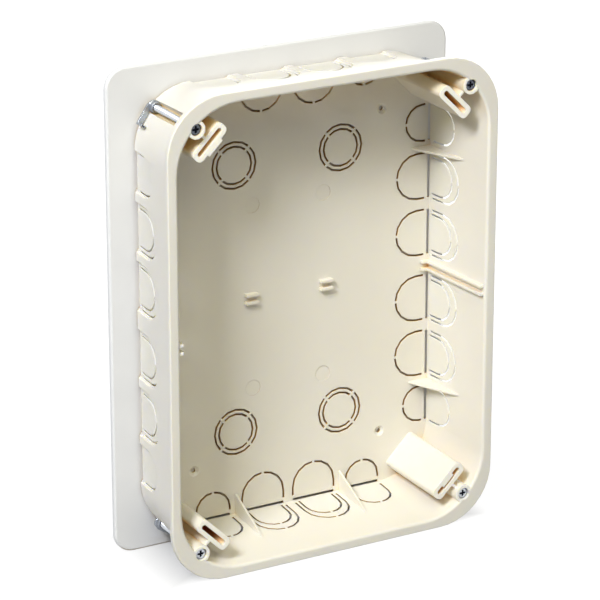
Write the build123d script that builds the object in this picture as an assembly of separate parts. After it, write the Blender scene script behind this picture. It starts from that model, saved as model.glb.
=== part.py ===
from build123d import *
import math
import os

# Flush junction box for hollow walls, with its cover stood behind it.
# Modelling frame: x to the right, y up, z out of the wall, z = 0 on the wall's surface.
# Lengths are in millimetres and angles in degrees.

# Repeated curves are made of short straight chords, fewer where the radius is small
chord_angle = 22.5
small_chord_angle = 30.0
small_radius = 5.0
large_chord_angle = 9.0
large_radius = 20.0

# Flange that lies on the wall
flange_width = 190.0
flange_height = 258.0
flange_corner = 30.5
flange_thickness = 3.2
flange_round = 0.5
mouth_round = 1.6
rim_side_width = 5.7
rim_end_width = 5.5

# Moulded body behind the flange
mouth_corner = 34.0
inner_depth = 51.0
draft = 4.2
wall = 1.9
back_wall = 2.0
rear_bevel = 2.0

# Clamp screws, one in each corner
screw_inset = 10.7
head_recess = 1.2
head_radius = 3.0
head_height = 1.9
head_clearance = 0.25
recess_span = 3.4
recess_blade = 0.8
recess_depth = 1.3
shank_radius = 1.75
shank_clearance = 0.15
seat_thickness = 1.8
seat_gap = 0.05
screw_tail = 3.5

# Open channel of each screw, and the half tube that closes it off inside
channel_radius = 3.8
boss_wall = 1.1
boss_setback = 0.4

# Steel claws on the clamp screws
claw_setback = 6.0
claw_sheet = 1.2
claw_clearance = 0.35
thread_clearance = 0.15
collar_wall = 1.0
collar_length = 2.6
arm_length = 11.8
arm_width = 3.0
arm_lift = 0.9
arm_lean = 11.0
tab_length = 4.6
tooth_count = 3
tooth_depth = 1.1

# Pockets that take the cover's legs
pocket_gap = 11.6
pocket_setback = 2.7
pocket_length = 22.4
pocket_width = 7.4
pocket_corner = 2.6
slot_length = 17.6
slot_width = 2.6
pad_length = 10.6
pad_thickness = 1.4
key_length = 8.6
key_depth = 1.5
web_thickness = 1.5

# Knock-outs for two conduit sizes
conduit_large = 12.5
conduit_small = 10.0
slit = 1.1
corner_slit = 1.2
bridge = 1.4
foot_gap = 3.0
inner_foot_gap = 2.2
membrane = 0.6
recess_margin = 1.0
large_wall_reach = 26.0
inner_wall_reach = 20.2
small_wall_reach = 21.4
large_back_reach = 20.0
small_back_reach = 14.7
long_wall_large = (18.4, 50.0)
long_wall_small = 79.2
short_wall_large = (15.4,)
short_wall_small = 45.3
ring_x = 31.3
ring_y = 73.3

# Stiffening gussets between the knock-outs
gusset_thickness = 1.2
gusset_up = 30.0
gusset_in = 11.3

# Fixing holes and ejector marks in the back
fixing_x = 56.1
fixing_y = 90.5
fixing_radius = 1.2
countersink_radius = 3.0
countersink_depth = 1.2
countersink_angle = 45.0
mark_x = 21.0
mark_y = 50.4
mark_radius = 4.4
mark_depth = 0.2

# Guides for a dividing sheet across the middle
guide_gap = 2.8
guide_thickness = 1.5
guide_height = 2.4
guide_stop = 1.5
guide_foot = 5.0
post_x = 22.2
post_length = 7.2
post_height = 3.0

# Cover plate with four legs
cover_side_overhang = 4.0
cover_end_overhang = 2.0
cover_corner = 11.0
cover_skin = 1.8
cover_lip_height = 1.0
cover_lip_width = 2.2
cover_chamfer = 0.8
cover_gap = 0.3
cover_shift = -2.6
leg_length = 22.0
leg_clearance = 0.25
leg_tip_chamfer = 0.6

# Sizes and heights that follow from those above
mouth_width = flange_width - 2 * rim_side_width
mouth_height = flange_height - 2 * rim_end_width
cover_width = flange_width + 2 * cover_side_overhang
cover_height = flange_height + 2 * cover_end_overhang
front = flange_thickness
back = front - inner_depth
rear = back - back_wall
lean = math.tan(math.radians(draft))
back_half_width = mouth_width / 2 - inner_depth * lean
back_half_height = mouth_height / 2 - inner_depth * lean
screw_x = mouth_width / 2 - screw_inset
screw_y = mouth_height / 2 - screw_inset
seat_top = front - head_recess - head_height - seat_gap
channel_top = seat_top - seat_thickness
boss_radius = channel_radius + boss_wall
screw_end = rear + screw_tail
claw_rear = rear + claw_setback
overlap = 1.0

corners = {
    "top_left": (-1, 1),
    "top_right": (1, 1),
    "bottom_left": (-1, -1),
    "bottom_right": (1, -1),
}
padded_corner = "top_left"
keyed_corner = "bottom_right"


def corner_plane(signs, z, inset=0.0):
    # Origin on a screw's axis, x along the corner and y straight out of it
    side_x, side_y = signs
    tangent = (side_y, -side_x, 0)
    step = inset / math.sqrt(2)
    origin = (side_x * (screw_x - step), side_y * (screw_y - step), z)
    return Plane(origin=origin, x_dir=tangent, z_dir=(0, 0, 1))


def arc_points(radius, start, sweep, x=0.0, y=0.0):
    # Ends of the chords along an arc about the point x, y
    angle = chord_angle
    if radius < small_radius:
        angle = small_chord_angle
    if radius > large_radius:
        angle = large_chord_angle
    count = round(sweep / angle)
    turns = [math.radians(start + sweep * step / count) for step in range(count + 1)]
    return [(x + radius * math.cos(turn), y + radius * math.sin(turn)) for turn in turns]


def disc(radius):
    return Polygon(*arc_points(radius, 0, 360)[:-1], align=None)


def rounded_points(length, width, radius):
    across = length / 2 - radius
    up = width / 2 - radius
    points = arc_points(radius, 0, 90, across, up)
    points += arc_points(radius, 90, 90, -across, up)
    points += arc_points(radius, 180, 90, -across, -up)
    return points + arc_points(radius, 270, 90, across, -up)


def slot_bar(length, width):
    across = (length - width) / 2
    points = arc_points(width / 2, -90, 180, across)
    points += arc_points(width / 2, 90, 180, -across)
    return Polygon(*points, align=None)


def outline_at(z, width, height, corner, grow):
    # Rounded rectangle at one height, grown by the same width all round
    points = rounded_points(width + 2 * grow, height + 2 * grow, corner + grow)
    return [(x, y, z) for x, y in points]


def mouth_outline(z, grow):
    # The mouth, drawn in by the draft below the rim
    return outline_at(z, mouth_width, mouth_height, mouth_corner, grow - (front - z) * lean)


def flat_sided(outlines):
    # Solid through outlines with as many points each, and a flat side between each pair of edges
    loops = [outlines[0], outlines[-1]]
    for upper, lower in zip(outlines, outlines[1:]):
        for step in range(len(upper)):
            loops.append([upper[step - 1], upper[step], lower[step], lower[step - 1]])
    return Solid(Shell([make_face(Polyline(*loop, close=True)).face() for loop in loops]))


def flange_plate():
    # Flat plate with a rounded front edge
    profile = [(0, 0)] + arc_points(flange_round, 0, 90, -flange_round, front - flange_round)
    sizes = flange_width, flange_height, flange_corner
    return flat_sided([outline_at(z, *sizes, grow) for grow, z in profile])


def body_outside():
    # Drafted block with a bevel round its rear
    rim = mouth_outline(front, wall)
    edge = mouth_outline(rear + rear_bevel, wall)
    end = mouth_outline(rear, wall - rear_bevel)
    return flat_sided([rim, edge, end])


def cavity():
    # Inside of the box, flared into the rim by a rounded edge
    profile = arc_points(mouth_round, 90, 90, mouth_round, front - mouth_round) + [(0, back)]
    return flat_sided([mouth_outline(z, grow) for grow, z in profile])


def corner_mould(signs, padded):
    # Half tube round the screw, thin web and slotted pocket, which has a flat pad in one corner
    boss_depth = front - boss_setback - rear
    boss = extrude(corner_plane(signs, rear) * disc(boss_radius), amount=boss_depth)
    pocket_depth = front - pocket_setback - rear
    base = corner_plane(signs, rear, pocket_gap)
    outline = Polygon(*rounded_points(pocket_length, pocket_width, pocket_corner), align=None)
    if padded:
        pad = Rectangle(pad_length, pad_thickness + overlap)
        outline += Pos(0, -pocket_width / 2 - (pad_thickness - overlap) / 2) * pad
    web = Rectangle(web_thickness, pocket_gap, align=(Align.CENTER, Align.MIN))
    return boss, extrude(base * (outline + web), amount=pocket_depth)


def pocket_slot(signs, keyed):
    outline = slot_bar(slot_length, slot_width)
    if keyed:
        key = Rectangle(key_length, key_depth, align=(Align.CENTER, Align.MIN))
        outline -= Pos(0, -slot_width / 2) * key
    return extrude(corner_plane(signs, back, pocket_gap) * outline, amount=inner_depth)


def screw_passage(signs):
    # Channel open to the outside, hole through the seat and bore for the head
    lane = Rectangle(2 * channel_radius, mouth_corner, align=(Align.CENTER, Align.MIN))
    channel = disc(channel_radius) + lane
    channel_depth = channel_top - rear + overlap
    passage = extrude(corner_plane(signs, rear - overlap) * channel, amount=channel_depth)
    hole = disc(shank_radius + shank_clearance)
    passage += extrude(corner_plane(signs, channel_top - overlap) * hole, amount=inner_depth)
    bore = disc(head_radius + head_clearance)
    passage += extrude(corner_plane(signs, seat_top) * bore, amount=inner_depth)
    return passage


def wall_planes(angle, half):
    # Planes on the inner face of one wall and on the back, both from their common corner line
    turn = math.radians(angle)
    outward = Vector(math.cos(turn), math.sin(turn), 0)
    along = Vector(-math.sin(turn), math.cos(turn), 0)
    origin = outward * half + Vector(0, 0, back)
    tilt = math.radians(draft)
    normal = outward * math.cos(tilt) - Vector(0, 0, math.sin(tilt))
    return Plane(origin, along, normal), Plane(origin, along, (0, 0, 1))


def arch(radius, reach, foot=0.0):
    # Straight legs from the corner line with a half circle on top
    crown = arc_points(radius, 0, 180, y=reach - radius)
    return Polygon((-radius, -foot), (radius, -foot), *crown, align=None)


def arch_slit(radius, reach, gap):
    # Narrow slit along the arch, with a bridge at its crown and a gap at both feet
    band = arch(radius + slit / 2, reach + slit / 2) - arch(radius - slit / 2, reach - slit / 2)
    band -= Pos(0, reach) * Rectangle(bridge, 4 * slit)
    foot = Rectangle(4 * radius, 2 * gap)
    return band - foot


def knock_out(planes, offset, radius, wall_reach, back_reach, inner_radius=None):
    # Slits right through, a gap along the corner, and the recess that thins the wall from outside
    side, floor = planes
    place = Pos(offset, 0)
    side_slits = arch_slit(radius, wall_reach, foot_gap)
    if inner_radius:
        side_slits += arch_slit(inner_radius, inner_wall_reach, inner_foot_gap)
    cut = extrude(side * place * side_slits, amount=2 * wall, both=True)
    back_slits = arch_slit(radius, back_reach, foot_gap)
    cut += extrude(floor * place * back_slits, amount=2 * back_wall, both=True)
    strip = Rectangle(2 * radius, corner_slit + 2 * wall, align=(Align.CENTER, Align.MAX))
    cut += extrude(floor * place * Pos(0, corner_slit) * strip, amount=-2 * back_wall)
    outline = arch(radius + recess_margin, wall_reach + recess_margin, 2 * back_wall)
    cut += extrude(side.offset(membrane) * place * outline, amount=2 * wall)
    return cut


def gusset(planes, offset):
    # Thin triangle in the corner between a wall and the back
    side = planes[0]
    foot = Vector(0, 0, 1).cross(side.x_dir)
    corner = side.origin + side.x_dir * (offset - gusset_thickness / 2)
    into_wall = side.z_dir * (wall / 2)
    below = Vector(0, 0, -back_wall / 2)
    points = [
        corner + into_wall + below,
        corner + side.y_dir * gusset_up + into_wall,
        corner + side.y_dir * gusset_up,
        corner + foot * gusset_in,
        corner + foot * gusset_in + below,
    ]
    return extrude(make_face(Polyline(*points, close=True)), amount=gusset_thickness, dir=side.x_dir)


def wall_guides(planes):
    # Twin ribs up a wall, each with a short foot on the back
    side, floor = planes
    rise = (inner_depth - guide_stop) / math.cos(math.radians(draft))
    ribs = None
    for offset in (-1, 1):
        place = Pos(offset * (guide_gap + guide_thickness) / 2, 0)
        strip = Rectangle(guide_thickness, rise, align=(Align.CENTER, Align.MIN))
        rib = extrude(side.offset(-guide_height) * place * strip, amount=guide_height + wall / 2)
        foot_strip = Rectangle(guide_thickness, guide_foot, align=(Align.CENTER, Align.MIN))
        rib += extrude(floor.offset(-back_wall / 2) * place * foot_strip, amount=guide_height + back_wall / 2)
        ribs = rib if ribs is None else ribs + rib
    return ribs


def guide_posts():
    # Pairs of short bars on the back, in line with the twin ribs
    bars = []
    for x in (-post_x, post_x):
        for side in (-1, 1):
            bar = Rectangle(post_length, guide_thickness)
            y = side * (guide_gap + guide_thickness) / 2
            place = Pos(x, y, back - back_wall / 2)
            bars.append(extrude(place * bar, amount=post_height + back_wall / 2))
    return bars


def ring_slits():
    # Two concentric rings of four arcs, with bridges on the diagonals
    rings = []
    for radius in (conduit_large, conduit_small):
        rings.append(disc(radius + slit / 2) - disc(radius - slit / 2))
    both = rings[0] + rings[1]
    for angle in (45, 135):
        both -= Rot(0, 0, angle) * Rectangle(3 * conduit_large, bridge)
    places = [Pos(x, y, rear - overlap) for x in (-ring_x, ring_x) for y in (-ring_y, ring_y)]
    return [extrude(place * both, amount=back_wall + 2 * overlap) for place in places]


def back_holes():
    # Small bores with a countersink on the inside, and shallow round ejector marks
    cuts = []
    mouth = Plane(origin=(0, 0, back), x_dir=(1, 0, 0), z_dir=(0, 0, -1))
    sink = extrude(mouth * disc(countersink_radius), amount=countersink_depth, taper=countersink_angle)
    bore = extrude(mouth * Circle(fixing_radius), amount=back_wall)
    dimple = extrude(mouth * disc(mark_radius), amount=mark_depth)
    for side_x, side_y in corners.values():
        cuts.append(Pos(side_x * mark_x, side_y * mark_y) * dimple)
        cuts.append(Pos(side_x * fixing_x, side_y * fixing_y) * sink)
        cuts.append(Pos(side_x * fixing_x, side_y * fixing_y) * bore)
    return cuts


def box_body():
    outside = body_outside()
    body = outside + flange_plate()
    body -= cavity()
    within = outside + flange_plate()
    for name, signs in corners.items():
        boss, pocket = corner_mould(signs, name == padded_corner)
        body += (boss & within) + pocket
    for name, signs in corners.items():
        body -= pocket_slot(signs, name == keyed_corner)
        body -= screw_passage(signs)
    body += guide_posts()
    cuts = ring_slits() + back_holes()
    for angle in (0, 90, 180, 270):
        long_wall = angle % 180 == 0
        planes = wall_planes(angle, back_half_width if long_wall else back_half_height)
        large = long_wall_large if long_wall else short_wall_large
        small = long_wall_small if long_wall else short_wall_small
        if long_wall:
            body += wall_guides(planes)
        fin = (large[-1] + conduit_large + small - conduit_small) / 2
        for side in (-1, 1):
            body += gusset(planes, side * fin)
            cuts.append(knock_out(planes, side * small, conduit_small, small_wall_reach, small_back_reach))
            for offset in large:
                place = side * offset
                cuts.append(
                    knock_out(planes, place, conduit_large, large_wall_reach, large_back_reach, conduit_small)
                )
    return body - cuts


def clamp_screw(signs):
    # Cheese head with a cross recess, on a plain shank
    head_top = front - head_recess
    under_head = head_top - head_height
    head = extrude(corner_plane(signs, under_head) * disc(head_radius), amount=head_height)
    shank = extrude(corner_plane(signs, screw_end) * disc(shank_radius), amount=under_head - screw_end)
    cross = Rectangle(recess_span, recess_blade) + Rectangle(recess_blade, recess_span)
    socket = extrude(corner_plane(signs, head_top - recess_depth) * cross, amount=head_height)
    return head + shank - socket


def claw(signs):
    # Pressed plate with a threaded collar, and an arm along the wall that ends in a toothed tab
    bore_radius = shank_radius + thread_clearance
    arm_end = Rot(0, 0, arm_lean) * Pos(-arm_length, arm_lift)
    arm = arm_end * Rectangle(arm_length, arm_width, align=(Align.MIN, Align.MIN))
    plate = extrude(disc(channel_radius - claw_clearance) + arm, amount=claw_sheet)
    plate += extrude(disc(bore_radius + collar_wall), amount=claw_sheet + collar_length)
    tab = arm_end * Rectangle(claw_sheet, arm_width, align=(Align.MIN, Align.MIN))
    tab_top = claw_sheet + tab_length
    plate += extrude(tab, amount=tab_top)
    plate -= extrude(disc(bore_radius), amount=tab_top)
    pitch = arm_width / tooth_count
    for tooth in range(tooth_count):
        left = tooth * pitch
        notch = Polygon((left, tab_top - tooth_depth), (left + pitch, tab_top), (left, tab_top), align=None)
        across = arm_end * Location(Plane.YZ) * notch
        plate -= extrude(across, amount=claw_sheet)
    if signs[0] > 0:
        plate = mirror(plate, about=Plane.YZ)
    return corner_plane(signs, claw_rear) * plate


def cover_plate():
    # Thin plate with a low lip round its rear, and one flat leg for each pocket slot
    face = rear - cover_gap
    outline = RectangleRounded(cover_width, cover_height, cover_corner)
    hollow = offset(outline, -cover_lip_width)
    thickness = cover_skin + cover_lip_height
    plate = extrude(Pos(0, 0, face - thickness) * outline, amount=thickness)
    plate = chamfer(plate.edges().group_by(Axis.Z)[-1], cover_chamfer)
    plate -= extrude(Pos(0, 0, face - thickness) * hollow, amount=cover_lip_height)
    leg_outline = Rectangle(slot_length - 2 * leg_clearance - slot_width, slot_width - 2 * leg_clearance)
    leg_end = face - cover_skin - leg_length
    for signs in corners.values():
        foot = corner_plane(signs, leg_end, pocket_gap)
        leg = extrude(foot * leg_outline, amount=leg_length + cover_skin / 2)
        leg = chamfer(leg.edges().group_by(Axis.Z)[0], leg_tip_chamfer)
        plate += leg
    return Pos(cover_shift, cover_end_overhang, 0) * plate


def save(shape, name):
    # Stand the part up: x stays, y becomes up and z comes towards the front
    export_step(Plane.XZ.location * shape, f"parts/{name}.step")


os.makedirs("parts", exist_ok=True)
save(box_body(), "box_body")
save(cover_plate(), "cover_plate")
for corner, corner_signs in corners.items():
    save(clamp_screw(corner_signs), f"clamp_screw_{corner}")
    save(claw(corner_signs), f"claw_{corner}")
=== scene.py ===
import math
import bpy
import bmesh
import numpy as np
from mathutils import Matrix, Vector


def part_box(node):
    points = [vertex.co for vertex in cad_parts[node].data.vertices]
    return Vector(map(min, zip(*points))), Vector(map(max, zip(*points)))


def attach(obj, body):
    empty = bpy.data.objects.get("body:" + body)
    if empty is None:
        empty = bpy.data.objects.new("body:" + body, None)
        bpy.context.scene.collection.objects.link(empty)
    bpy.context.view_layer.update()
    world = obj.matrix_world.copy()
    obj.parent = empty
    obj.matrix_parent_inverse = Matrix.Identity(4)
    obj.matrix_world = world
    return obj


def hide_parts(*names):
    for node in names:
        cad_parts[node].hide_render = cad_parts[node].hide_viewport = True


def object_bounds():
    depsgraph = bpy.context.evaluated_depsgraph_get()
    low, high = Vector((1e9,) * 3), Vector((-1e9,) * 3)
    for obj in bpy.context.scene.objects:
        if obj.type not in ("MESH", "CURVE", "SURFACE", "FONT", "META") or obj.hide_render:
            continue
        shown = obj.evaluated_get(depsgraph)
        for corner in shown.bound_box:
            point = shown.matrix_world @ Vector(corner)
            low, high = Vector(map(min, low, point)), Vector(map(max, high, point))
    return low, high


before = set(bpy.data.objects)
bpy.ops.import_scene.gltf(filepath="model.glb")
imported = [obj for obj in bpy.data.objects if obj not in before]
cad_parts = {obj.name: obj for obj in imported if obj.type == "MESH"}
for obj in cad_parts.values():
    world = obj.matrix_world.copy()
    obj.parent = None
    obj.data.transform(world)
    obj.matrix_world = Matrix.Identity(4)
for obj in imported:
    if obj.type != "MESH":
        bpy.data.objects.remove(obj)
cadLow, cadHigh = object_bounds()
mm = 0.001

corners = ("top_left", "top_right", "bottom_left", "bottom_right")


# Mesh helpers

def placed(name, data):
    thing = bpy.data.objects.new(name, data)
    bpy.context.scene.collection.objects.link(thing)
    return thing


def meshFromArrays(name, points, faces):
    mesh = bpy.data.meshes.new(name)
    mesh.from_pydata(points.tolist(), [], faces.tolist())
    mesh.update()
    return placed(name, mesh)


def gridFaces(rows, columns):
    # quads between neighbouring rows of a grid that closes on itself along its columns
    row, column = np.meshgrid(np.arange(rows - 1), np.arange(columns), indexing="ij")
    nextColumn = (column + 1) % columns
    quads = [row * columns + column, row * columns + nextColumn,
             (row + 1) * columns + nextColumn, (row + 1) * columns + column]
    return np.stack(quads, axis=-1).reshape(-1, 4)


def vectorsOf(items, field):
    # one row of x, y and z for each face or vertex
    values = np.empty(len(items) * 3)
    items.foreach_get(field, values)
    return values.reshape(-1, 3)


def addLayer(mesh, name, domain, values):
    layer = mesh.attributes.new(name, "FLOAT", domain)
    layer.data.foreach_set("value", np.asarray(values, np.float32))


def shadeByAngle(piece, degrees):
    mesh = piece.data
    mesh.polygons.foreach_set("use_smooth", np.ones(len(mesh.polygons), bool))
    mesh.set_sharp_from_angle(angle=math.radians(degrees))


def weldedCopy(node, name, creaseDegrees, weldReach=0.004 * mm, flatDegrees=0.3):
    # same surface as the node, with its loose triangles welded and flat neighbours joined
    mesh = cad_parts[node].data.copy()
    mesh.name = name
    work = bmesh.new()
    work.from_mesh(mesh)
    bmesh.ops.remove_doubles(work, verts=work.verts, dist=weldReach)
    bmesh.ops.dissolve_limit(work, angle_limit=math.radians(flatDegrees), verts=work.verts, edges=work.edges)
    work.to_mesh(mesh)
    work.free()
    if "custom_normal" in mesh.attributes:
        mesh.attributes.remove(mesh.attributes["custom_normal"])
    mesh.materials.clear()
    piece = placed(name, mesh)
    shadeByAngle(piece, creaseDegrees)
    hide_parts(node)
    return piece


def flattenFaces(piece, weight):
    # shading follows the large flat faces, so only the narrow ones between them look curved
    flatten = piece.modifiers.new("flatFaces", "WEIGHTED_NORMAL")
    flatten.weight = weight
    flatten.keep_sharp = True


def softenEdges(piece, look):
    bevel = piece.modifiers.new("softEdges", "BEVEL")
    bevel.width = look["edgeWidth"]
    bevel.segments = look["edgeSegments"]
    bevel.limit_method = "ANGLE"
    bevel.angle_limit = math.radians(look["edgeDegrees"])


# Material helpers

def newMaterial(name):
    material = bpy.data.materials.new(name)
    material.use_nodes = True
    nodes, links = material.node_tree.nodes, material.node_tree.links
    return material, nodes, links, nodes["Principled BSDF"]


def setInputs(node, values):
    for name, value in values.items():
        node.inputs[name].default_value = value


def noiseAt(nodes, links, scale, detail):
    coords = nodes.new("ShaderNodeTexCoord")
    noise = nodes.new("ShaderNodeTexNoise")
    setInputs(noise, {"Scale": scale, "Detail": detail})
    links.new(coords.outputs["Object"], noise.inputs["Vector"])
    return noise.outputs["Fac"]


def placeAt(nodes, links):
    # x, y and z in the object's own coordinates
    coords = nodes.new("ShaderNodeTexCoord")
    place = nodes.new("ShaderNodeSeparateXYZ")
    links.new(coords.outputs["Object"], place.inputs["Vector"])
    return place.outputs


def attributeAt(nodes, name):
    layer = nodes.new("ShaderNodeAttribute")
    layer.attribute_name = name
    return layer.outputs["Fac"]


def crevice(nodes, reach, samples=8):
    # 1 on open surfaces, falling towards 0 in slots and corners narrower than the reach
    shade = nodes.new("ShaderNodeAmbientOcclusion")
    shade.samples = samples
    setInputs(shade, {"Distance": reach})
    return shade.outputs["AO"]


def rampThrough(nodes, links, factor, stops):
    # colour ramp through (position, colour) stops
    ramp = nodes.new("ShaderNodeValToRGB")
    elements = ramp.color_ramp.elements
    while len(elements) < len(stops):
        elements.new(1.0)
    for element, (position, colour) in zip(elements, stops):
        element.position = position
        element.color = (*colour, 1)
    links.new(factor, ramp.inputs["Fac"])
    return ramp.outputs["Color"]


def rampBetween(nodes, links, factor, low, high, start=0.3, end=0.7):
    return rampThrough(nodes, links, factor, ((start, low), (end, high)))


def rangeBetween(nodes, links, factor, low, high, start=0.25, end=0.75):
    spread = nodes.new("ShaderNodeMapRange")
    setInputs(spread, {"From Min": start, "From Max": end, "To Min": low, "To Max": high})
    links.new(factor, spread.inputs["Value"])
    return spread.outputs["Result"]


def combined(nodes, links, kind, first, second):
    join = nodes.new("ShaderNodeMath")
    join.operation = kind
    links.new(first, join.inputs[0])
    links.new(second, join.inputs[1])
    return join.outputs["Value"]


def mixedBy(nodes, links, factor, first, second):
    mix = nodes.new("ShaderNodeMix")
    mix.data_type = "RGBA"
    links.new(factor, mix.inputs["Factor"])
    links.new(first, mix.inputs["A"])
    links.new(second, mix.inputs["B"])
    return mix.outputs["Result"]


def timesShade(nodes, links, tint, paintedShade):
    # the tint times a painted shade
    mix = nodes.new("ShaderNodeMix")
    mix.data_type = "RGBA"
    mix.blend_type = "MULTIPLY"
    setInputs(mix, {"Factor": 1.0})
    links.new(tint, mix.inputs["A"])
    links.new(paintedShade, mix.inputs["B"])
    return mix.outputs["Result"]


def roundedNormal(nodes, radius, samples=6):
    # small radius on every moulded edge
    bevel = nodes.new("ShaderNodeBevel")
    bevel.samples = samples
    setInputs(bevel, {"Radius": radius})
    return bevel.outputs["Normal"]


def bumpFrom(nodes, links, height, distance, strength, normal=None):
    bump = nodes.new("ShaderNodeBump")
    setInputs(bump, {"Distance": distance, "Strength": strength})
    links.new(height, bump.inputs["Height"])
    if normal is not None:
        links.new(normal, bump.inputs["Normal"])
    return bump.outputs["Normal"]


def addGrain(nodes, links, shader, look, normal=None):
    # fine moulded grain, in the roughness and in the relief
    grain = noiseAt(nodes, links, look["grainScale"], look["grainDetail"])
    rough = rangeBetween(nodes, links, grain, look["roughLow"], look["roughHigh"])
    relief = bumpFrom(nodes, links, grain, look["grainDepth"], look["grainStrength"], normal)
    links.new(rough, shader.inputs["Roughness"])
    links.new(relief, shader.inputs["Normal"])


# Finishes

ivoryFinish = {
    # the inner tints are a little warmer than the outer ones: painted light bounced between the walls
    "innerPale": (0.73, 0.70, 0.625),
    "innerDeep": (0.71, 0.677, 0.598),
    # painted light: warmer tints under the top wall stand for light bounced between the walls
    "upperPale": (0.74, 0.65, 0.48),
    "upperDeep": (0.72, 0.63, 0.46),
    "paintedBounceSpan": (85.0 * mm, 119.0 * mm),  # heights where the warmer tint starts and is full
    "outerPale": (0.72, 0.70, 0.645),
    "outerDeep": (0.70, 0.678, 0.62),
    # the lip tints also paint light onto the pale slit walls of the side and top walls
    "lipPale": (0.87, 0.85, 0.79),
    "lipDeep": (0.85, 0.825, 0.76),
    # painted shade: orange-brown in the enclosed hollows inside, brown in the slits
    "creviceShadeStops": ((0.0, (0.94, 0.52, 0.12)), (0.3, (0.82, 0.69, 0.40))),
    "creviceSpan": (0.08, 0.38),  # openness where the painted shade is full and where it ends
    "creviceReach": 12.0 * mm,
    "slitShadeStops": ((0.0, (0.40, 0.23, 0.08)), (0.5, (0.46, 0.30, 0.13))),
    "flowScale": 14.0,
    "flowDetail": 3,
    "grainScale": 2600.0,
    "grainDetail": 2,
    "grainDepth": 0.02 * mm,
    "grainStrength": 0.35,
    "roughLow": 0.40,
    "roughHigh": 0.52,
    "specular": 0.42,
    "glow": 0.4,
    "glowReach": (1.0, 0.84, 0.36),
    "glowScale": 2.2 * mm,
    "edgeRadius": 0.45 * mm,
}


def makeIvory(look):
    material, nodes, links, shader = newMaterial("ivoryMoulding")
    flow = noiseAt(nodes, links, look["flowScale"], look["flowDetail"])
    inner, upper, outer, lip = (rampBetween(nodes, links, flow, look[zone + "Deep"], look[zone + "Pale"])
                                for zone in ("inner", "upper", "outer", "lip"))
    # painted light: warmer under the top wall, standing for the light that only comes back off the plastic
    # there
    height = rangeBetween(nodes, links, placeAt(nodes, links)["Z"], 0.0, 1.0, *look["paintedBounceSpan"])
    inner = mixedBy(nodes, links, height, inner, upper)
    # the warmer inner tint inside the mouth is painted bounce light
    inside = attributeAt(nodes, "inside")
    tint = mixedBy(nodes, links, inside, outer, inner)
    # paler on the lip faces: the front ends of the pockets and tubes, and the slit walls of the side and top
    # walls, where the pale tint is painted light
    tint = mixedBy(nodes, links, attributeAt(nodes, "lip"), tint, lip)
    # painted shade: warm orange-brown deep in the pockets and corners inside, and brown in the slits
    openness = crevice(nodes, look["creviceReach"])
    depth = rangeBetween(nodes, links, openness, 1.0, 0.0, *look["creviceSpan"])
    depth = combined(nodes, links, "MULTIPLY", depth, inside)
    pocketShade = rampThrough(nodes, links, openness, look["creviceShadeStops"])
    tint = mixedBy(nodes, links, depth, tint, pocketShade)
    slitShade = rampThrough(nodes, links, openness, look["slitShadeStops"])
    tint = mixedBy(nodes, links, attributeAt(nodes, "slit"), tint, slitShade)
    links.new(tint, shader.inputs["Base Color"])
    addGrain(nodes, links, shader, look, roundedNormal(nodes, look["edgeRadius"]))
    setInputs(shader, {
        "Specular IOR Level": look["specular"],
        "Subsurface Weight": look["glow"],
        "Subsurface Radius": look["glowReach"],
        "Subsurface Scale": look["glowScale"],
    })
    return material


coverFinish = {
    "paleTint": (0.69, 0.693, 0.70),
    "deepTint": (0.67, 0.672, 0.677),
    # painted shade next to the box and behind its slits and holes
    "creviceShadeStops": ((0.0, (0.55, 0.34, 0.14)), (0.2, (0.66, 0.54, 0.38)), (0.45, (1.0, 1.0, 1.0))),
    "creviceReach": 14.0 * mm,
    "flowScale": 9.0,
    "flowDetail": 3,
    "grainScale": 1800.0,
    "grainDetail": 2,
    "grainDepth": 0.03 * mm,
    "grainStrength": 0.3,
    "roughLow": 0.45,
    "roughHigh": 0.58,
    "specular": 0.4,
}


def makeCoverWhite(look):
    material, nodes, links, shader = newMaterial("coverWhite")
    flow = noiseAt(nodes, links, look["flowScale"], look["flowDetail"])
    tint = rampBetween(nodes, links, flow, look["deepTint"], look["paleTint"])
    # painted shade: darker brown where the cover is enclosed, next to the box and behind its slits and holes
    paintedShade = rampThrough(nodes, links, crevice(nodes, look["creviceReach"]), look["creviceShadeStops"])
    links.new(timesShade(nodes, links, tint, paintedShade), shader.inputs["Base Color"])
    addGrain(nodes, links, shader, look)
    setInputs(shader, {"Specular IOR Level": look["specular"]})
    return material


zincFinish = {
    "brightTint": (0.66, 0.69, 0.73),
    "dullTint": (0.58, 0.61, 0.66),
    "shadeStops": ((0.0, (1.0, 1.0, 1.0)), (0.6, (0.36, 0.38, 0.42)), (1.0, (0.02, 0.02, 0.03))),
    # painted shade in the narrow corners of the screws and claws
    "creviceShadeStops": ((0.1, (0.10, 0.10, 0.11)), (0.7, (1.0, 1.0, 1.0))),
    "creviceReach": 3.0 * mm,
    "spangleScale": 420.0,
    "spangleDetail": 3,
    "scratchScale": 3000.0,
    "scratchDetail": 2,
    "scratchDepth": 0.004 * mm,
    "scratchStrength": 0.4,
    "roughLow": 0.24,
    "roughHigh": 0.34,
}


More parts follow.
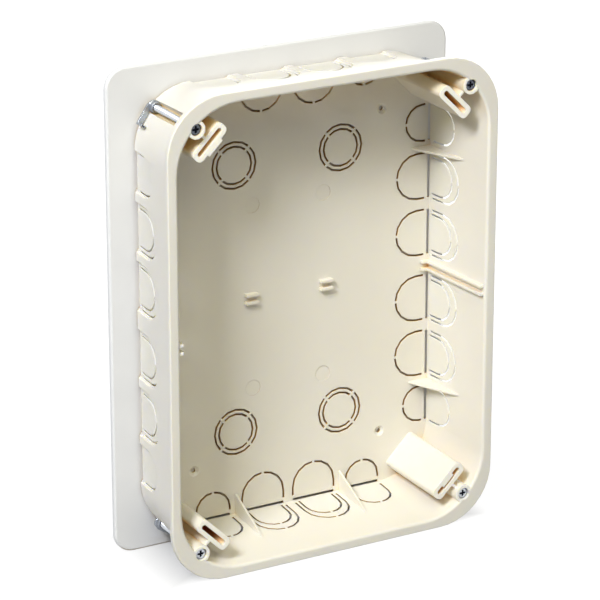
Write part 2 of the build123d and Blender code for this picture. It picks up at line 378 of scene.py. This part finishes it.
def makeZinc(look):
    material, nodes, links, shader = newMaterial("zincPlate")
    spangle = noiseAt(nodes, links, look["spangleScale"], look["spangleDetail"])
    tint = rampBetween(nodes, links, spangle, look["dullTint"], look["brightTint"])
    # painted shade and reflection: darker heads and recesses from the shade attribute, and darker in narrow
    # corners
    shade = rampThrough(nodes, links, attributeAt(nodes, "shade"), look["shadeStops"])
    paintedShade = rampThrough(nodes, links, crevice(nodes, look["creviceReach"]), look["creviceShadeStops"])
    tint = timesShade(nodes, links, timesShade(nodes, links, tint, shade), paintedShade)
    links.new(tint, shader.inputs["Base Color"])
    rough = rangeBetween(nodes, links, spangle, look["roughHigh"], look["roughLow"])
    links.new(rough, shader.inputs["Roughness"])
    scratch = noiseAt(nodes, links, look["scratchScale"], look["scratchDetail"])
    relief = bumpFrom(nodes, links, scratch, look["scratchDepth"], look["scratchStrength"])
    links.new(relief, shader.inputs["Normal"])
    setInputs(shader, {"Metallic": 1.0})
    return material


ivory = makeIvory(ivoryFinish)
coverWhite = makeCoverWhite(coverFinish)
zinc = makeZinc(zincFinish)
print("finishes: ivory moulding, cover white, zinc plate")


# Box moulding

boxLook = {
    "crease": 32.0,  # degrees, as are the draft and the other creases
    "flatWeight": 100,
    "mouthHalf": (89.3 * mm, 123.5 * mm),
    "mouthCorner": 34.0 * mm,
    "draft": 4.2,
    "margin": 0.15 * mm,  # how far past the drafted mouth still counts as inside
    "lipDepth": 5.0 * mm,
    "lipFacing": 0.9,  # least share of the normal towards the front
    "backDepth": 51.05 * mm,
    "paleSlits": 100.0 * mm,
    "slitReach": 0.75 * mm,
    "slitStart": 8.0 * mm,
    "slitFacing": 0.5,  # greatest share of the normal across the wall
}


def markInside(mesh, look):
    # distance of each face's middle from the drafted rounded rectangle of the mouth: below zero is inside
    x, y, z = vectorsOf(mesh.polygons, "center").T
    normals = vectorsOf(mesh.polygons, "normal")
    depth = y - cadLow[1]
    drawn = depth * math.tan(math.radians(look["draft"]))
    corner = look["mouthCorner"] - drawn
    halfWidth, halfHeight = look["mouthHalf"]
    over = np.stack([np.abs(x) - halfWidth, np.abs(z) - halfHeight]) + drawn + corner
    distance = np.hypot(*np.maximum(over, 0)) + np.minimum(over.max(axis=0), 0) - corner
    inside = (distance < look["margin"]) & (depth > look["margin"])
    # front ends of the pockets and tubes
    lip = inside & (depth < look["lipDepth"]) & (normals[:, 1] < -look["lipFacing"])
    # walls of the slits: painted brown shade in the back below paleSlits and in the bottom wall, painted pale
    # light in the other walls
    across = np.abs(normals[:, 1])
    outward = np.where(over[0] > over[1], *np.abs(normals[:, [0, 2]]).T)
    wallSlit = (distance > look["margin"]) & (distance < look["slitReach"])
    wallSlit &= (depth > look["slitStart"]) & (outward < look["slitFacing"])
    slit = (depth > look["backDepth"]) & (z < look["paleSlits"]) & (across < look["slitFacing"])
    slit |= wallSlit & (z < -look["paleSlits"])
    # the pale slit walls take the lip tint, as painted light
    lip |= wallSlit & ~slit
    for name, marked in (("inside", inside), ("lip", lip), ("slit", slit)):
        addLayer(mesh, name, "FACE", marked)


def makeBox(look):
    piece = weldedCopy("box_body", "boxMoulding", look["crease"])
    markInside(piece.data, look)
    flattenFaces(piece, look["flatWeight"])
    piece.data.materials.append(ivory)
    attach(piece, "box")


makeBox(boxLook)
print("box moulding done")


# Cover plate

coverLook = {"crease": 32.0, "edgeWidth": 0.3 * mm, "edgeSegments": 2, "edgeDegrees": 40.0}


def makeCover(look):
    piece = weldedCopy("cover_plate", "coverPlate", look["crease"])
    piece.data.materials.append(coverWhite)
    softenEdges(piece, look)
    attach(piece, "box")


makeCover(coverLook)
print("cover plate done")


# Clamp screws

screwLook = {
    "crease": 50.0,
    "headFlats": 12,
    "headHeight": 1.9 * mm,
    "domeRise": 0.45 * mm,
    "topShare": 0.94,  # of the head's radius, as are the shoulder's and the seat's
    "firstRing": 0.02,  # of the top's radius
    "ringPower": 0.85,
    "shoulderShare": 0.985,
    "shoulderStart": 1.05,  # times the dome's rise, as is the end
    "shoulderEnd": 1.5,
    "seatShare": 0.97,
    "seatRound": 0.1 * mm,
    "recessReach": 1.75 * mm,
    "recessBlade": 0.5 * mm,
    "recessDepth": 1.3 * mm,
    "recessRound": 0.75 * mm,
    "bladeDepth": 0.8,  # of the recess's depth
    "bladeBlur": 0.05 * mm,
    "reachBlur": 0.06 * mm,
    "roundBlur": 0.08 * mm,
    "shankRadius": 1.75 * mm,
    "pitch": 0.7 * mm,
    "threadDepth": 0.28 * mm,
    "tipLength": 1.2 * mm,
    "tipShare": 0.72,  # of the shank's radius
    "columns": 64,
    "headRows": 26,
    "rowsPerTurn": 8,
    # painted shade: the top heads darker than the bottom ones
    "headShade": {"top": 0.8, "bottom": 0.12},
    "shadeMargin": 0.05 * mm,
    "recessShade": 1.6,  # how fast the recess darkens with its depth
}


def fallPast(value, limit, blur):
    # 1 below the limit, falling smoothly to 0 above it
    return 1 / (1 + np.exp((value - limit) / blur))


def ringsOf(radius, down, turn):
    # points at each radius and depth, turned about the y axis
    return np.stack([radius * np.cos(turn), down + 0 * turn, radius * np.sin(turn)], axis=-1)


def screwPoints(look, headRadius, length):
    # about the screw's own axis: x and z across, y down the shank from the head's top
    turn = np.linspace(0, 2 * math.pi, look["columns"], endpoint=False)
    headHeight, domeRise = look["headHeight"], look["domeRise"]
    # head top: rings from the centre out, sunk where the distance to the nearer blade of the cross is small
    spread = np.linspace(look["firstRing"], 1, look["headRows"])[:, None] ** look["ringPower"]
    reach = spread * headRadius * look["topShare"]
    bladeDistance = np.minimum(np.abs(reach * np.cos(turn)), np.abs(reach * np.sin(turn)))
    inBlade = fallPast(bladeDistance, look["recessBlade"], look["bladeBlur"])
    inBlade = inBlade * fallPast(reach, look["recessReach"], look["reachBlur"])
    inRound = fallPast(reach, look["recessRound"], look["roundBlur"])
    sunk = look["recessDepth"] * np.maximum(inBlade * look["bladeDepth"], inRound)
    dome = domeRise * (reach / headRadius) ** 2
    top = ringsOf(reach, dome + sunk, turn)
    # head side: rounded shoulder, then straight down to the seat and in to the shank
    shoulder = np.array([
        (look["shoulderShare"], domeRise * look["shoulderStart"]),
        (1.0, domeRise * look["shoulderEnd"]),
        (1.0, headHeight - look["seatRound"]),
        (look["seatShare"], headHeight),
    ])
    side = ringsOf(headRadius * shoulder[:, :1], shoulder[:, 1:], turn)
    # thread: the radius falls from crest to root and back once in each pitch, turning with the angle
    turns = (length - headHeight) / look["pitch"]
    down = np.linspace(0, length - headHeight, int(turns * look["rowsPerTurn"]))[:, None]
    phase = (down / look["pitch"] - turn / (2 * math.pi)) % 1
    valley = np.abs(2 * phase - 1)
    taper = np.clip((down[-1] - down) / look["tipLength"], 0, 1)
    radius = look["shankRadius"] - look["threadDepth"] * valley
    radius = radius * (look["tipShare"] + (1 - look["tipShare"]) * np.sqrt(taper))
    shank = ringsOf(radius, headHeight + down, turn)
    return np.concatenate([top, side, shank])


def closeEnds(piece):
    # caps the open first and last rings and turns every face outwards
    work = bmesh.new()
    work.from_mesh(piece.data)
    bmesh.ops.holes_fill(work, edges=[edge for edge in work.edges if edge.is_boundary], sides=0)
    bmesh.ops.recalc_face_normals(work, faces=work.faces)
    work.to_mesh(piece.data)
    work.free()


def markShade(mesh, look, headShade, top):
    # painted shade and reflection: the head darker than the shank, the top heads darker than the bottom ones,
    # and darkest down in its recess
    x, y, z = vectorsOf(mesh.vertices, "co").T
    reach = np.hypot(x - (x.min() + x.max()) / 2, z - (z.min() + z.max()) / 2)
    down = y - top
    dome = look["domeRise"] * (reach / reach.max()) ** 2
    sunk = np.clip((down - dome) / look["recessDepth"], 0, 1)
    head = down < look["headHeight"] + look["shadeMargin"]
    inRecess = head & (reach < look["recessReach"])
    recessShade = (1 - headShade) * np.clip(sunk * look["recessShade"], 0, 1)
    shade = np.where(head, headShade, 0) + np.where(inRecess, recessShade, 0)
    addLayer(mesh, "shade", "POINT", shade)


def makeScrew(corner, look):
    node = "clamp_screw_" + corner
    low, high = (np.array(end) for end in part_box(node))
    centre = (low + high) / 2
    # the solid's head has flats, so its corners reach further than half its width
    headRadius = (high[0] - low[0]) / 2 / math.cos(math.pi / look["headFlats"])
    rings = screwPoints(look, headRadius, high[1] - low[1])
    points = rings.reshape(-1, 3) + (centre[0], low[1], centre[2])
    piece = meshFromArrays("clampScrew_" + corner, points, gridFaces(*rings.shape[:2]))
    closeEnds(piece)
    shadeByAngle(piece, look["crease"])
    end = corner.split("_")[0]
    markShade(piece.data, look, look["headShade"][end], low[1])
    piece.data.materials.append(zinc)
    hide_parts(node)
    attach(piece, corner + "_screw")


for corner in corners:
    makeScrew(corner, screwLook)
print("clamp screws done")


# Claws

clawLook = {"crease": 32.0, "edgeWidth": 0.12 * mm, "edgeSegments": 2, "edgeDegrees": 40.0, "shade": 0.3}


def makeClaw(corner, look):
    piece = weldedCopy("claw_" + corner, "clampClaw_" + corner, look["crease"])
    addLayer(piece.data, "shade", "POINT", np.full(len(piece.data.vertices), look["shade"]))
    piece.data.materials.append(zinc)
    softenEdges(piece, look)
    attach(piece, corner + "_claw")


for corner in corners:
    makeClaw(corner, clawLook)
print("claws done")


# Floor, light and camera

stageLook = {
    "reach": 6.0,
    "floorGap": 0.05 * mm,
    "floorTone": 0.4,
    "floorRoughness": 0.9,
    "floorSpecular": 0.1,
    "cameraWhite": 0.82,  # share of white near the object
    "whiteLevel": 1.17,
    "shadowReach": (0.15, 0.5),  # distances between which the shadow fades out
    # spans at the sides, the front and the rear over which the floor under the box turns white
    "underHalf": (60.0 * mm, 98.0 * mm),
    "underFront": (-2.0 * mm, 20.0 * mm),
    "underRear": (45.0 * mm, 75.0 * mm),
    "ambient": 0.02,
    "backdrop": 1.0,
}


def whiteForCamera(nodes, links):
    # 1 on rays that see the backdrop directly, in a mirror or through glass
    path = nodes.new("ShaderNodeLightPath")
    seen = path.outputs["Is Camera Ray"]
    for kind in ("Is Glossy Ray", "Is Transmission Ray"):
        seen = combined(nodes, links, "MAXIMUM", seen, path.outputs[kind])
    return seen


def mixShaders(nodes, links, share, first, second, output):
    # the second shader by its share, the first for the rest
    mix = nodes.new("ShaderNodeMixShader")
    links.new(share, mix.inputs["Fac"])
    links.new(first, mix.inputs[1])
    links.new(second, mix.inputs[2])
    links.new(mix.outputs["Shader"], output.inputs["Surface"])


def floorWhite(nodes, links, look, level):
    # all white away from the object, a part of the shadow near it and all of it under the box
    coords = nodes.new("ShaderNodeTexCoord")
    away = nodes.new("ShaderNodeVectorMath")
    away.operation = "DISTANCE"
    away.inputs[1].default_value = (0, 0, level)
    links.new(coords.outputs["Object"], away.inputs[0])
    near = rangeBetween(nodes, links, away.outputs["Value"], look["cameraWhite"], 1.0, *look["shadowReach"])
    place = placeAt(nodes, links)
    across = nodes.new("ShaderNodeMath")
    across.operation = "ABSOLUTE"
    links.new(place["X"], across.inputs[0])
    beside = rangeBetween(nodes, links, across.outputs["Value"], 0.0, 1.0, *look["underHalf"])
    before = rangeBetween(nodes, links, place["Y"], 1.0, 0.0, *look["underFront"])
    behind = rangeBetween(nodes, links, place["Y"], 0.0, 1.0, *look["underRear"])
    clear = combined(nodes, links, "MAXIMUM", beside, combined(nodes, links, "MAXIMUM", before, behind))
    share = combined(nodes, links, "MULTIPLY", near, clear)
    return combined(nodes, links, "MULTIPLY", share, whiteForCamera(nodes, links))


def makeFloor(look):
    level = cadLow[2] - look["floorGap"]
    square = np.array([(-1, -1, 0), (1, -1, 0), (1, 1, 0), (-1, 1, 0)])
    points = square * look["reach"] + (0, 0, level)
    floor = meshFromArrays("floor", points, np.array([(0, 1, 2, 3)]))
    material, nodes, links, shader = newMaterial("paleFloor")
    tone = look["floorTone"]
    setInputs(shader, {
        "Base Color": (tone, tone, tone, 1),
        "Roughness": look["floorRoughness"],
        "Specular IOR Level": look["floorSpecular"],
    })
    white = nodes.new("ShaderNodeEmission")
    setInputs(white, {"Strength": look["whiteLevel"]})
    share = floorWhite(nodes, links, look, level)
    mixShaders(nodes, links, share, shader.outputs["BSDF"], white.outputs["Emission"],
               nodes["Material Output"])
    floor.data.materials.append(material)


def makeWorld(look):
    world = bpy.data.worlds.new("studio")
    bpy.context.scene.world = world
    world.use_nodes = True
    nodes, links = world.node_tree.nodes, world.node_tree.links
    ambient = nodes["Background"]
    white = nodes.new("ShaderNodeBackground")
    setInputs(ambient, {"Color": (1, 1, 1, 1), "Strength": look["ambient"]})
    setInputs(white, {"Color": (1, 1, 1, 1), "Strength": look["backdrop"]})
    share = whiteForCamera(nodes, links)
    mixShaders(nodes, links, share, ambient.outputs["Background"], white.outputs["Background"],
               nodes["World Output"])


def lookAlong(holder, ahead):
    holder.rotation_mode = "QUATERNION"
    holder.rotation_quaternion = ahead.to_track_quat("-Z", "Y")


lamps = {
    "keyLight": {
        "towards": (-0.62, -0.41, 0.67), "distance": 2.4, "size": 0.6, "power": 62.0, "tint": (0.98, 1, 1.05),
    },
    "highFill": {
        "towards": (-0.14, -0.6, 0.785), "distance": 2.2, "size": 1.4, "power": 26.0, "tint": (1, 0.95, 0.72),
    },
    "rearFill": {
        "towards": (0.5, 0.83, 0.25), "distance": 2.4, "size": 1.6, "power": 42.0, "tint": (1, 1, 1),
    },
}


def makeLamp(name, look):
    lamp = bpy.data.lights.new(name, "AREA")
    lamp.shape = "SQUARE"
    lamp.size = look["size"]
    lamp.energy = look["power"]
    lamp.color = look["tint"]
    holder = placed(name, lamp)
    towards = Vector(look["towards"]).normalized()
    holder.location = towards * look["distance"]
    lookAlong(holder, -towards)


cameraLook = {
    "azimuth": 29.37,
    "elevation": 20.18,
    "aim": (-0.01963, 0.0, 0.01365),
    "distance": 1.611,
    "lens": 191.66,
    "sensor": 36.0,
    "clip": (0.05, 50.0),
}


def makeCamera(look):
    camera = bpy.data.cameras.new("photoCamera")
    camera.sensor_width = look["sensor"]
    camera.lens = look["lens"]
    camera.clip_start, camera.clip_end = look["clip"]
    holder = placed("photoCamera", camera)
    azimuth, elevation = math.radians(look["azimuth"]), math.radians(look["elevation"])
    level = math.cos(elevation)
    ahead = Vector((math.sin(azimuth) * level, math.cos(azimuth) * level, -math.sin(elevation)))
    holder.location = Vector(look["aim"]) - ahead * look["distance"]
    lookAlong(holder, ahead)
    bpy.context.scene.camera = holder


makeFloor(stageLook)
makeWorld(stageLook)
for lampName, lampLook in lamps.items():
    makeLamp(lampName, lampLook)
makeCamera(cameraLook)
bpy.context.scene.view_settings.view_transform = "Standard"
print("floor, light and camera done")
